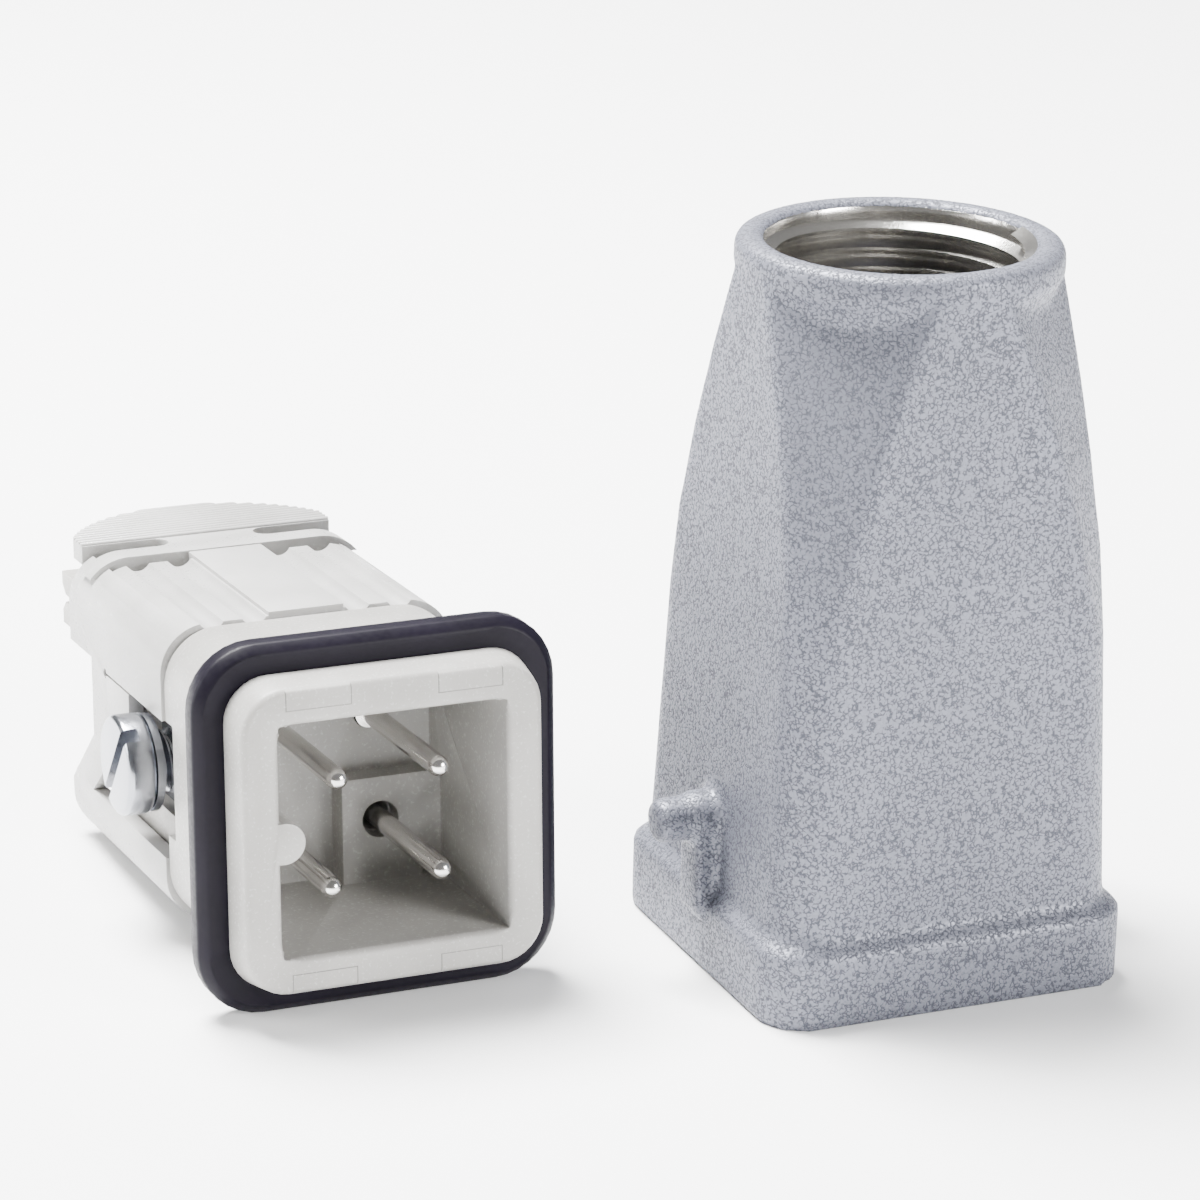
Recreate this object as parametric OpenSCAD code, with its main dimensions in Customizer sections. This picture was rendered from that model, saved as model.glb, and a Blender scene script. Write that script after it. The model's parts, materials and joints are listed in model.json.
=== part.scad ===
// Heavy duty rectangular connector, shown taken apart: a die-cast hood standing on
// its mouth, and beside it the pin insert that belongs in the hood, lying on its seal.
// Units are millimetres, +Z is up, and the origin is the middle of the footprint.
// The insert's own frame, used below: +X right, +Y from its mating face to its
// rear, +Z up, with y = 0 on the mating face and the axis in the middle.

/* [Hood] */
// Width of the hood's foot, across the flats
hood_base_w = 29.9; // [29:0.1:32]
// Height of the whole hood
hood_h = 55.8; // [52:0.2:62]
// Height of the foot's straight rim
foot_h = 5.6; // [4:0.1:7]
// How far the hood's walls stand in from the foot
foot_step = 1.05; // [0.6:0.05:1.4]
// Corner radius of the hood's walls
hood_corner_r = 3.6; // [2.5:0.1:4.5]
// Half width of the hood at its top, across the flats
hood_top_half = 12.1; // [11.9:0.1:12.6]
// Height where the corner facets start
facet_z = 27; // [24:1:32]
// Distance of the corner facets from the axis, at the top
facet_top = 10.6; // [10.4:0.1:11.4]
// Width of the square mouth
mouth_w = 23.6; // [23.4:0.1:24.4]
// Corner radius of the mouth
mouth_r = 3.2; // [2:0.1:4]
// Wall behind the corner facets
facet_wall = 1.3; // [1:0.1:1.6]

/* [Cable entry] */
// Major diameter of the cable entry's thread
entry_d = 20; // [16:1:20]
// Length of the threaded entry
entry_len = 9.5; // [8:0.5:12]
// Width of the lead-in chamfer at the mouth of the thread
entry_chamfer = 0.35; // [0.2:0.05:0.6]
// Radius of the rounded rim around the entry
rim_r = 12.2; // [12:0.1:12.8]
// Height of that rim
rim_h = 2.2; // [1.6:0.1:3]

/* [Locking pegs] */
// Diameter of a locking peg
peg_d = 3.4; // [3:0.1:4]
// Height of the pegs' axis above the mouth
peg_z = 12; // [10:0.5:14]
// Distance between the two pegs' outer ends
peg_span = 37; // [35:0.5:39]
// How far the web under a peg stands out of the wall
web_out = 1.9; // [1.2:0.1:2.4]

/* [Insert] */
// Width of the square collar at its mating face
collar_w = 23.3; // [22.5:0.1:24]
// Width of the collar where it meets the seal
collar_root_w = 24; // [23.6:0.1:24.6]
// Corner radius of the collar
collar_r = 3.4; // [2.5:0.1:4]
// Wall of the collar
collar_wall = 2.8; // [2.2:0.1:3.2]
// Depth of the collar's inside, from the mating face to its floor
floor_y = 16.3; // [15.5:0.1:16.8]
// Height of the square step round the earth pin, above the floor
step_h = 2.2; // [1.5:0.1:3]
// Width of the block behind the seal, which goes into the hood
block_w = 23; // [22.4:0.1:23.2]
// Corner radius of that block
block_r = 4.3; // [3:0.1:4.5]
// Distance from the mating face to the block's rear face
block_rear_y = 18.7; // [18.5:0.1:20]
// Radius of the keying rib on the collar's left inner wall
key_r = 1.6; // [1:0.1:2]

/* [Seal] */
// Outer width of the profile seal
seal_w = 28.3; // [27.4:0.1:29]
// Distance from the mating face to the seal's front face
seal_y = 3.3; // [2.8:0.1:4]
// Thickness of the seal along the insert
seal_t = 2.5; // [2:0.1:3]
// Depth of the groove that holds the seal
groove_d = 0.8; // [0.5:0.1:1.2]

/* [Contacts] */
// Diameter of a contact pin
pin_d = 1.6; // [1.4:0.1:1.8]
// Distance of the pin tips behind the mating face
tip_y = 0.8; // [0.5:0.1:4]
// Distance between neighbouring pins
pin_pitch = 7.9; // [7.7:0.1:8.1]
// How far contact 3 stands out of the square, to the left and down
key_shift = 0.6; // [0.3:0.1:0.8]
// Side of a contact's square terminal
terminal_w = 5; // [4.8:0.1:5.2]
// Length of a terminal
terminal_len = 10; // [9:0.1:10.4]
// Diameter of a terminal screw's thread
tscrew_d = 3; // [2.5:0.1:3]
// Travel of a terminal screw
tscrew_travel = 1.25; // [0.8:0.05:1.3]

/* [Earth terminal] */
// Diameter of the earth screw's thread
escrew_d = 4.9; // [4:0.1:5]
// Diameter of the earth screw's head
escrew_head_d = 7.8; // [7:0.1:8]
// Thickness of that head
escrew_head_h = 2.3; // [1.8:0.1:2.6]
// How far the earth screw is backed out
escrew_travel = 2; // [1:0.1:2.2]
// Thickness of the earth strap
strap_t = 1; // [0.8:0.05:1]
// Distance from the insert's axis to the strap's outer face
strap_x = 9.1; // [8.9:0.1:9.3]
// Distance of the earth screw behind the mating face
escrew_y = 22.9; // [22.7:0.1:23]

/* [Rear cover] */
// Outer width of the rear cover
cover_w = 23.4; // [23.2:0.1:23.6]
// Corner radius of the rear cover
cover_r = 3.7; // [3:0.1:4.2]
// Wall of the rear cover
cover_wall = 1.2; // [1:0.05:1.25]
// Height of the raised band along its top, above its other walls
band_rise = 0.3; // [0.2:0.05:0.5]
// Half width of that band
band_half = 3; // [2.6:0.1:3.2]
// Depth of the flutes beside the band
flute_d = 0.55; // [0.3:0.05:0.6]
// Distance from the mating face to the rear end of the cover's top
top_rear_y = 37.2; // [36.8:0.1:37.6]
// Width of the two windows in front of the crossbar
window_l = 1; // [0.8:0.1:1.3]
// Length of the crossbar, along the insert
bar_l = 2.3; // [2:0.1:2.8]
// Width of the slots between the crossbar and the thumb tab
slot_l = 2.2; // [1.8:0.1:2.6]
// Length of the thumb tab, along the insert
tab_l = 8.9; // [8:0.1:10]
// Half width of the thumb tab
tab_half = 10.4; // [9.5:0.1:11]
// Half width of the neck that carries the thumb tab
neck_half = 3.6; // [3:0.1:4.5]
// Thickness of the thumb tab
tab_t = 1.5; // [1.2:0.1:1.6]
// Number of ridges on the thumb tab
ridges = 13; // [8:1:14]
// How far the cover slides off
cover_travel = 16; // [10:1:20]

/* [Layout] */
// Distance between the hood's axis and the insert's axis
pair_x = 39.4; // [36:0.2:46]
// How far the insert's mating face lies in front of the hood's axis
pair_y = 0.8; // [0:0.2:12]

/* [Hidden] */
$fn = 64;
eps = 0.01;
fit = 0.05;          // clearance of pins and screws in their holes
slide_gap = 0.3;     // clearance between the cover and what it slides over

// hood
base_half = hood_base_w / 2;
wall_half = base_half - foot_step;
crease_r = 0.8;
top_z = hood_h - rim_h;
entry_z = hood_h - entry_len;
peg_out = peg_span / 2;
peg_sink = 1.4;      // how deep the pegs and webs start inside the wall
neck_taper = 7;      // height over which the cavity narrows to the entry
mouth_half = mouth_w / 2;
facet_full = (flat_at(facet_z) - hood_corner_r) * sqrt(2) + hood_corner_r;
facet_sections = 4;

// insert
collar_half = collar_w / 2;
opening_half = collar_half - collar_wall;
opening_r = 1.5;
edge = 0.35;         // softened edges of the mouldings
block_half = block_w / 2;
groove_half = block_half - groove_d;
seal_half = seal_w / 2;
seal_rear_y = seal_y + seal_t;
step_y = floor_y - step_h;
pin_off = pin_pitch / 2;
pin_seat_r = pin_d / 2 + 0.35;   // the thicker part of a pin, seated in its bore
pin_clear = 0.2;     // how far that part stands out of the bore
well_depth = 1.6;    // depth of the well round the earth pin
well_gap = 0.25;     // gap between that pin and the well's wall
contact_xz = [[-pin_off, pin_off], [pin_off, pin_off],
    [-pin_off - key_shift, -pin_off - key_shift / 2]];
earth_xz = [pin_off, -pin_off];
up = [1, 1, -1];     // which way each terminal's screw faces
step_left = earth_xz[0] - 3.1;
step_top = earth_xz[1] + 3.4;

// earth terminal
escrew_z = 0.1;
washer_t = 0.6;
head_x = -strap_x - escrew_travel - washer_t - 0.3;
escrew_end = -3.9;   // where the backed out screw ends, measured from the insert's axis
plate_t = 1.2;
plate_top = 4.2;
plate_bottom = -3.9;
plate_rear_y = escrew_y + 4.2;
strip_half = 1.2;
strap_leg_half = 2;
earth_rivet_r = 1.5;
earth_rear_y = block_rear_y + strap_t + 0.6;
pocket_y = block_rear_y - 1.7;
pocket_low = escrew_z - escrew_head_d / 2 - 0.7;

// terminals
tbody_gap = 6.8;     // from the carrier's rear to the terminals
tbody_half = terminal_w / 2;
tbody_y = block_rear_y + tbody_gap;
tbody_rear_y = tbody_y + terminal_len;
tscrew_y = tbody_y + terminal_len * 0.55;
tscrew_head_d = 4.6;
tscrew_head_h = 1.5;
wire_w = 3.2;
leaf_t = 0.5;

// rear cover
cover_half = cover_w / 2;
cover_in = cover_half - cover_wall;
cover_y = block_rear_y + 0.15;
bar_y = top_rear_y + window_l;
slot_y = bar_y + bar_l;
tab_y = slot_y + slot_l;
tab_rear_y = tab_y + tab_l;
bar_top = cover_half + band_rise + 0.1;
tab_r = (pow(tab_half, 2) + pow(tab_l - 2.4, 2)) / (2 * (tab_l - 2.4));
notch_top = 4.45;
notch_bottom = -6.4;
notch_rear_y = escrew_y + escrew_head_d / 2 + 0.4;
slit_len = 6;        // how far the slit above the notch runs on
web_bottom = -1.6;
web_rear_y = top_rear_y - 0.4;
ear_y = web_rear_y + 5.6;
ear_bottom = 4.75;
ear_x = 9.6;         // half width of the gap between the two ears
strut_foot = -6.8;
flute_w = 1.9;
flute_pitch = 3.4;
flute_r = (pow(flute_w / 2, 2) + pow(flute_d, 2)) / (2 * flute_d);
foot_rear_y = ear_y + 0.5;
foot_r = 3.4;
strut = 5.4;         // width of the slanted strut, along the insert

// terminal block
tblock_half = cover_in - slide_gap;
tblock_rear_y = web_rear_y;
guide_len = 12.5;    // how far the prongs reach past the block
guide_rear_y = tblock_rear_y + guide_len;
guide_w = 3.4;
guide_low = 4.2;
guide_high = 6.1;
guide_foot = 6.7;    // distance of the lower prongs' upper face below the axis
guide_t = 1.8;
guide_run = 7;       // how far the upper prongs stay deep

// how the two halves lie: the insert rests on its seal and on the cover's foot
rest_y = foot_rear_y - foot_r;
tilt = atan((seal_half - cover_half) / (rest_y - seal_rear_y));
lift = seal_rear_y * sin(tilt) + seal_half * cos(tilt);
insert_left = max(seal_half, escrew_head_h - head_x);
rear_reach = tab_rear_y * cos(tilt) + (bar_top + 0.25) * sin(tilt);
hood_x = (pair_x + insert_left - peg_out) / 2;
hood_y = (base_half - max(rear_reach - pair_y, base_half)) / 2;

// Half width across the flats, at a height in the hood's wall
function flat_at(z) = wall_half + (hood_top_half - wall_half) * (z - foot_h) / (top_z - foot_h);
// Distance of the corner facets from the axis, which falls faster towards the top
function facet_at(z) =
    let (t = (z - facet_z) / (top_z - facet_z))
    facet_full + (facet_top - facet_full) * (0.55 * t + 0.45 * t * t);

// A square with round corners, centred, drawn from squares and circles
module round_square(half, r) {
    square([2 * half, 2 * (half - r)], center = true);
    square([2 * (half - r), 2 * half], center = true);
    for (x = [-1, 1], y = [-1, 1])
        translate([x * (half - r), y * (half - r)]) circle(r);
}

// A square prism along the insert, from y0 to y1, with its corners rounded
module sleeve(half, r, y0, y1) {
    translate([0, y1, 0]) rotate([90, 0, 0]) linear_extrude(y1 - y0) round_square(half, r);
}

// A box between two corners
module block(low, high) {
    translate(low) cube(high - low);
}

// A rod along the insert
module rod_y(r, y0, y1, at = [0, 0]) {
    translate([at[0], y0, at[1]]) rotate([-90, 0, 0]) cylinder(r = r, h = y1 - y0);
}

// Four posts at the corners of a square, for a hull
module posts(half, r, z, h = eps) {
    for (x = [-1, 1], y = [-1, 1])
        translate([x * (half - r), y * (half - r), z]) cylinder(r = r, h = h, $fn = 32);
}

// Eight thin posts at the corners of an uneven octagon, for a hull
module octagon_posts(flat, facet, r, z) {
    side = (facet - r) * sqrt(2) - (flat - r);
    for (s = [-1, 1], t = [-1, 1]) {
        translate([s * (flat - r), t * side, z]) cylinder(r = r, h = eps, $fn = 16);
        translate([s * side, t * (flat - r), z]) cylinder(r = r, h = eps, $fn = 16);
    }
}

// Puts a shape drawn in the insert's frame where the insert lies
module lay_insert() {
    translate([hood_x - pair_x, hood_y - pair_y, lift]) rotate([-tilt, 0, 0]) children();
}

// ---- hood ----

module hood_outside() {
    hull() {
        posts(wall_half, hood_corner_r, foot_h);
        posts(flat_at(facet_z), hood_corner_r, facet_z);
        for (i = [1 : facet_sections]) {
            z = facet_z + (top_z - facet_z) * i / facet_sections;
            octagon_posts(flat_at(z), facet_at(z), crease_r, z - eps);
        }
    }
}

module hood_foot() {
    linear_extrude(foot_h) round_square(base_half, hood_corner_r + foot_step / 2);
    hull() {
        posts(base_half, hood_corner_r + foot_step / 2, foot_h - eps);
        posts(wall_half, hood_corner_r, foot_h + foot_step * 0.9);
    }
}

module hood_rim() {
    round_r = 0.9;
    translate([0, 0, top_z]) rotate_extrude() {
        square([rim_r, rim_h - round_r]);
        square([rim_r - round_r, rim_h]);
        translate([rim_r - round_r, rim_h - round_r]) circle(round_r);
    }
}

module hood_cavity() {
    bore_r = entry_d / 2;
    neck_z = entry_z - 1.5;
    deep_half = min(mouth_half - 0.1, flat_at(neck_z - neck_taper) - 1);
    hull() {
        posts(mouth_half, mouth_r, -1);
        posts(mouth_half - 0.05, mouth_r, facet_z);
        octagon_posts(deep_half, facet_at(neck_z - neck_taper) - facet_wall, crease_r,
            neck_z - neck_taper);
        translate([0, 0, neck_z]) cylinder(r = bore_r - 1, h = eps, $fn = 32);
    }
}

module entry_bore() {
    bore_r = entry_d / 2;
    translate([0, 0, entry_z]) cylinder(r = bore_r, h = entry_len + 1);
    translate([0, 0, entry_z - 2]) cylinder(r = bore_r - 1, h = 3);
    translate([0, 0, hood_h - entry_chamfer])
        cylinder(r1 = bore_r, r2 = bore_r + 2 * entry_chamfer, h = 2 * entry_chamfer);
}

// A peg stands out of the wall on a web that runs down to the foot
module locking_peg() {
    tip = 0.4;
    web_x = flat_at(peg_z) + web_out;
    root = wall_half - peg_sink;
    translate([root, 0, peg_z]) rotate([0, 90, 0]) {
        rotate_extrude()
            polygon([[0, 0], [peg_d / 2, 0], [peg_d / 2, peg_out - tip - root],
                [peg_d / 2 - tip, peg_out - root], [0, peg_out - root]]);
        cylinder(d = peg_d + 0.6, h = web_x - root);
    }
    block([root, -peg_d / 2, foot_h - 1], [web_x, peg_d / 2, peg_z]);
}

module hood_shell() {
    color("#a9adb0")
    translate([hood_x, hood_y, 0])
        difference() {
            union() {
                hood_foot();
                hood_outside();
                hood_rim();
                locking_peg();
                mirror([1, 0, 0]) locking_peg();
            }
            hood_cavity();
            entry_bore();
        }
}

// ---- insert: contact carrier ----

module collar_outside() {
    hull() {
        rotate([90, 0, 0]) posts(collar_half - edge, collar_r - edge, -eps);
        rotate([90, 0, 0]) posts(collar_half, collar_r, -edge);
        rotate([90, 0, 0]) posts(collar_root_w / 2, collar_r, -seal_y);
    }
}

module collar_inside() {
    sleeve(opening_half, opening_r, -1, floor_y);
    hull() {
        rotate([90, 0, 0]) posts(opening_half + edge, opening_r + edge, 0, 1);
        rotate([90, 0, 0]) posts(opening_half, opening_r, -edge);
    }
}

module contact_carrier() {
    color("#d3d2cc")
    lay_insert()
        difference() {
            union() {
                difference() {
                    union() {
                        collar_outside();
                        sleeve(groove_half, block_r - groove_d, seal_y - eps, seal_rear_y + eps);
                        sleeve(block_half, block_r, seal_rear_y, block_rear_y);
                    }
                    collar_inside();
                }
                block([step_left, step_y, -opening_half - eps], [opening_half + eps, floor_y + eps, step_top]);
                rod_y(key_r, 0, floor_y + eps, [-opening_half + 0.3, 0]);
            }
            for (p = contact_xz) rod_y(pin_seat_r + fit, step_y, block_rear_y + 1, p);
            rod_y(pin_seat_r + well_gap, step_y - 1, step_y + well_depth, earth_xz);
            rod_y(pin_seat_r + fit, step_y, block_rear_y + 1, earth_xz);
            block([-block_half - 1, pocket_y, pocket_low], [-strap_x + plate_t + fit, block_rear_y + 1, notch_top]);
        }
}

module profile_seal() {
    lip = 0.7;
    color("#2b2838")
    lay_insert()
        difference() {
            union() {
                sleeve(seal_half - lip, block_r + 0.3, seal_y, seal_rear_y);
                hull() {
                    rotate([90, 0, 0]) posts(seal_half - lip, block_r, -seal_y - 2 * eps);
                    rotate([90, 0, 0]) posts(seal_half, block_r + lip, -seal_y - lip);
                    rotate([90, 0, 0]) posts(seal_half, block_r + lip, -seal_rear_y + lip / 2);
                    rotate([90, 0, 0]) posts(seal_half - lip / 2, block_r + lip / 2, -seal_rear_y);
                }
            }
            sleeve(groove_half + fit, block_r - groove_d + fit, seal_y - 1, seal_rear_y + 1);
        }
}

// ---- insert: contacts and their screw terminals ----

module contact(i) {
    at = contact_xz[i];
    r = pin_d / 2;
    color("#c9c9c9")
    lay_insert()
        difference() {
            union() {
                rod_y(r, tip_y + r, floor_y, at);
                rod_y(pin_seat_r, floor_y - pin_clear, block_rear_y + eps, at);
                translate([at[0], tip_y + r, at[1]]) sphere(r);
                rod_y(2, block_rear_y, block_rear_y + 1.2, at);
                rod_y(1.1, block_rear_y, tbody_y + eps, at);
                block([at[0] - tbody_half, tbody_y, at[1] - tbody_half],
                    [at[0] + tbody_half, tbody_rear_y, at[1] + tbody_half]);
            }
            block([at[0] - wire_w / 2, tbody_y + 1.5, at[1] - wire_w / 2],
                [at[0] + wire_w / 2, tbody_rear_y + 1, at[1] + wire_w / 2]);
            translate([at[0], tscrew_y, at[1]]) rotate([90 - 90 * up[i], 0, 0])
                cylinder(d = tscrew_d + 2 * fit, h = terminal_w);
        }
}

// Moves a shape drawn over a terminal, with +Z out of its screw, to contact i
module at_terminal(i) {
    lay_insert()
        translate([contact_xz[i][0], tscrew_y, contact_xz[i][1]])
            rotate([90 - 90 * up[i], 0, 0]) children();
}

module clamp_leaf(i) {
    color("#b9bcc0")
    at_terminal(i)
        block([-wire_w / 2 + 0.15, -3.2, wire_w / 2 - leaf_t - 0.02],
            [wire_w / 2 - 0.15, 3.2, wire_w / 2 - 0.02]);
}

module slotted_head(d, h, slot_w, slot_d) {
    round_r = min(0.7, h / 3);
    difference() {
        rotate_extrude() {
            square([d / 2, h - round_r]);
            square([d / 2 - round_r, h]);
            translate([d / 2 - round_r, h - round_r]) circle(round_r);
        }
        translate([0, 0, h - slot_d / 2 + eps]) cube([d + 1, slot_w, slot_d], center = true);
    }
}

module terminal_screw(i) {
    head_z = tbody_half + tscrew_travel + 0.05;
    color("#c4c7ca")
    at_terminal(i) {
        translate([0, 0, wire_w / 2 - 0.02]) cylinder(d = tscrew_d, h = head_z - wire_w / 2 + 0.03);
        translate([0, 0, head_z]) slotted_head(tscrew_head_d, tscrew_head_h, 0.6, 0.8);
    }
}

// ---- insert: earth terminal ----

module earth_pin() {
    r = pin_d / 2;
    color("#c9c9c9")
    lay_insert() {
        rod_y(r, tip_y + r - 0.2, step_y, earth_xz);
        rod_y(pin_seat_r, step_y - pin_clear, earth_rear_y, earth_xz);
        translate([earth_xz[0], tip_y + r - 0.2, earth_xz[1]]) sphere(r);
        rod_y(earth_rivet_r, block_rear_y + strap_t, earth_rear_y, earth_xz);
    }
}

// The strap: a strip behind the block, its leg to the earth pin and its plate for the
// earth screw, all grown by a clearance where another piece makes room for them
module strap_parts(grow) {
    leg = strap_leg_half + grow;
    y0 = block_rear_y - grow;
    y1 = block_rear_y + strap_t + grow;
    block([-strap_x, y0, -strip_half - grow], [earth_xz[0] + leg, y1, strip_half + grow]);
    block([earth_xz[0] - leg, y0, earth_xz[1] - leg], [earth_xz[0] + leg, y1, strip_half + grow]);
    block([-strap_x, pocket_y + 0.1, plate_bottom - grow],
        [-strap_x + plate_t + grow, plate_rear_y + grow, plate_top + grow]);
}

module earth_strap() {
    y0 = block_rear_y;
    y1 = block_rear_y + strap_t;
    color("#c2c4c4")
    lay_insert()
        difference() {
            strap_parts(0);
            rod_y(pin_seat_r + fit, y0 - 1, y1 + 1, earth_xz);
            translate([-strap_x - 1, escrew_y, escrew_z]) rotate([0, 90, 0])
                cylinder(d = escrew_d + 2 * fit, h = plate_t + 2);
        }
}

// Puts a shape on the earth screw's axis, with +Z out of the insert's left side
module on_escrew() {
    lay_insert() translate([head_x, escrew_y, escrew_z]) rotate([0, -90, 0]) children();
}

module earth_washer() {
    color("#c4c7ca")
    on_escrew()
        difference() {
            translate([0, 0, -washer_t]) cylinder(d = escrew_head_d - 0.2, h = washer_t);
            translate([0, 0, -washer_t - 1]) cylinder(d = escrew_d + 2 * fit, h = washer_t + 2);
        }
}

module earth_screw() {
    color("#c4c7ca")
    on_escrew() {
        translate([0, 0, head_x - escrew_end]) cylinder(d = escrew_d, h = escrew_end - head_x + eps);
        slotted_head(escrew_head_d, escrew_head_h, 1.2, 1.2);
    }
}

// ---- insert: terminal block ----

// Extrudes a shape drawn in the side view (along, up) across the insert
module across(x0, x1) {
    translate([x0, 0, 0]) rotate([90, 0, 90]) linear_extrude(x1 - x0) children();
}

// One of the four prongs that guide the wires into the terminals
module wire_guide(low, high, step) {
    y0 = tblock_rear_y - 1;
    nose = 0.8;
    across(-tblock_half, -tblock_half + guide_w)
        polygon([[y0, low], [guide_rear_y, low], [guide_rear_y, high - nose], [guide_rear_y - nose, high],
            [y0 + guide_run, high], [y0 + guide_run - 2 * step, high + step], [y0, high + step]]);
}

module terminal_block() {
    room = 0.1;
    color("#c9c6bb")
    lay_insert()
        difference() {
            union() {
                sleeve(tblock_half, cover_r - cover_wall, block_rear_y, tblock_rear_y);
                for (side = [0, 1]) mirror([side, 0, 0]) {
                    wire_guide(guide_low, guide_high, 1.1);
                    mirror([0, 0, 1]) wire_guide(-guide_foot - guide_t, -guide_foot, 0);
                }
            }
            for (i = [0 : 2]) {
                at = contact_xz[i];
                low = min(at[1] - up[i] * (tbody_half + room), up[i] * (tblock_half + 1));
                high = max(at[1] - up[i] * (tbody_half + room), up[i] * (tblock_half + 1));
                block([at[0] - tbody_half - room, block_rear_y - 1, low],
                    [at[0] + tbody_half + room, tbody_rear_y + room, high]);
                block([at[0] - wire_w / 2, tbody_rear_y - 1, at[1] - wire_w / 2],
                    [at[0] + wire_w / 2, tblock_rear_y + 1, at[1] + wire_w / 2]);
            }
            strap_parts(fit);
            block([-tblock_half - 1, block_rear_y - 1, plate_bottom - fit],
                [-strap_x + plate_t + fit, plate_rear_y + fit, plate_top + fit]);
            rod_y(earth_rivet_r + room, block_rear_y - 1, earth_rear_y + room, earth_xz);
            translate([-strap_x, escrew_y, escrew_z]) rotate([0, 90, 0])
                cylinder(d = escrew_d + 6 * fit, h = escrew_end + escrew_travel + strap_x + 0.5);
        }
}

// ---- insert: rear cover ----

// The cover's outline seen from the side
module cover_side() {
    polygon([[cover_y - 1, cover_half + 2], [ear_y, cover_half + 2], [ear_y, ear_bottom],
        [web_rear_y, ear_bottom], [web_rear_y, web_bottom], [foot_rear_y, strut_foot],
        [foot_rear_y, foot_r - cover_half], [rest_y, -cover_half - eps], [cover_y - 1, -cover_half - eps]]);
    translate([rest_y, foot_r - cover_half]) circle(foot_r);
}

// The opening in the cover's left wall: the earth screw's notch and the space below the web
module cover_notch() {
    slit = 0.2;
    slit_end = notch_rear_y + slit_len;
    polygon([[cover_y - 1, notch_top], [notch_rear_y, notch_top], [notch_rear_y, web_bottom],
        [web_rear_y - strut, web_bottom], [foot_rear_y - strut, notch_bottom], [cover_y - 1, notch_bottom]]);
    translate([notch_rear_y - 1, notch_top - slit]) square([slit_end - notch_rear_y + 1, slit]);
    translate([slit_end, notch_top - slit / 2]) circle(0.4);
}

module cover_shell() {
    difference() {
        intersection() {
            difference() {
                union() {
                    sleeve(cover_half, cover_r, cover_y, foot_rear_y);
                    block([-band_half, cover_y, 0], [band_half, top_rear_y, cover_half + band_rise]);
                }
                sleeve(cover_in, cover_r - cover_wall, cover_y - 1, foot_rear_y + 1);
                for (side = [-1, 1], n = [0, 1])
                    rod_y(flute_r, cover_y - 1, foot_rear_y + 1,
                        [side * (band_half + flute_w * 0.6 + n * flute_pitch), cover_half - flute_d + flute_r]);
            }
            across(-cover_half - 1, cover_half + 1) cover_side();
        }
        block([-ear_x, top_rear_y, ear_bottom], [ear_x, foot_rear_y + 1, cover_half + 2]);
        across(-cover_half - 1, -cover_in / 2) cover_notch();
    }
}

// The crossbar, which ties the two ears together
module crossbar() {
    intersection() {
        block([-cover_half, bar_y, bar_top - tab_t], [cover_half, slot_y, bar_top]);
        sleeve(bar_top, cover_r + bar_top - cover_half, bar_y - 1, slot_y + 1);
    }
}

module tab_outline() {
    intersection() {
        translate([-tab_half, tab_y]) square([2 * tab_half, tab_l]);
        translate([0, tab_rear_y - tab_r]) circle(tab_r, $fn = 96);
    }
}

// The half-round thumb tab with its ridges, the neck it springs on and the band before it
module thumb_tab() {
    pitch = tab_l / ridges;
    low = bar_top - tab_t;
    corner = slot_l / 2;
    translate([0, 0, low]) linear_extrude(tab_t) tab_outline();
    intersection() {
        translate([0, 0, low]) linear_extrude(tab_t + 1) tab_outline();
        for (n = [0 : ridges - 1])
            translate([-tab_half, tab_y + (n + 0.5) * pitch, bar_top]) rotate([0, 90, 0])
                cylinder(r = pitch * 0.36, h = 2 * tab_half, $fn = 16);
    }
    difference() {
        block([-neck_half - corner, slot_y - eps, low], [neck_half + corner, tab_y + eps, bar_top]);
        for (side = [-1, 1])
            translate([side * (neck_half + corner), slot_y + corner, low - 1]) cylinder(r = corner, h = tab_t + 2);
    }
    block([-band_half, top_rear_y - eps, cover_in], [band_half, bar_y + eps, cover_half + band_rise]);
}

module rear_cover() {
    color("#d6d5cf")
    lay_insert() {
        cover_shell();
        crossbar();
        thumb_tab();
    }
}

hood_shell();
contact_carrier();
profile_seal();
terminal_block();
rear_cover();
contact(0);  // contact_1
contact(1);  // contact_2
contact(2);  // contact_3
earth_pin();
earth_strap();
earth_washer();
earth_screw();
clamp_leaf(0);  // clamp_leaf_1
clamp_leaf(1);  // clamp_leaf_2
clamp_leaf(2);  // clamp_leaf_3
terminal_screw(0);  // terminal_screw_1
terminal_screw(1);  // terminal_screw_2
terminal_screw(2);  // terminal_screw_3
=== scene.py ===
"""Dresses the heavy duty connector: a painted die-cast hood and its moulded pin insert."""
import json
import logging
import math
from collections.abc import Callable
from dataclasses import dataclass, field
from enum import Enum

import bpy
from mathutils import Euler, Matrix, Vector


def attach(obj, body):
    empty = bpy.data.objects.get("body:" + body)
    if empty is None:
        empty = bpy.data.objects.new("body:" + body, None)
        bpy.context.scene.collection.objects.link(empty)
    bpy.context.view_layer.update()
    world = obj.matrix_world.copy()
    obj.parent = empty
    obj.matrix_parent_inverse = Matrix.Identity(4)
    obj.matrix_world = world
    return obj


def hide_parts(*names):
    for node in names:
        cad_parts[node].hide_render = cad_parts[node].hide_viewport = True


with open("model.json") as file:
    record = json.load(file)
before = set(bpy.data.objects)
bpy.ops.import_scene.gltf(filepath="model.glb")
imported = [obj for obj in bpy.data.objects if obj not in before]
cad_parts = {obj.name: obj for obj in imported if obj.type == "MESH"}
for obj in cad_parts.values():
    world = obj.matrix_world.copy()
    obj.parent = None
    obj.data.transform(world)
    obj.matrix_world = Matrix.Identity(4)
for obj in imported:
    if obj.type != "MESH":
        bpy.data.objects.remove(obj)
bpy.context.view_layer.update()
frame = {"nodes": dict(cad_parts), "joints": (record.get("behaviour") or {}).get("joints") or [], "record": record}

MM = 0.001
LOG = logging.getLogger("connector")
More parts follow.
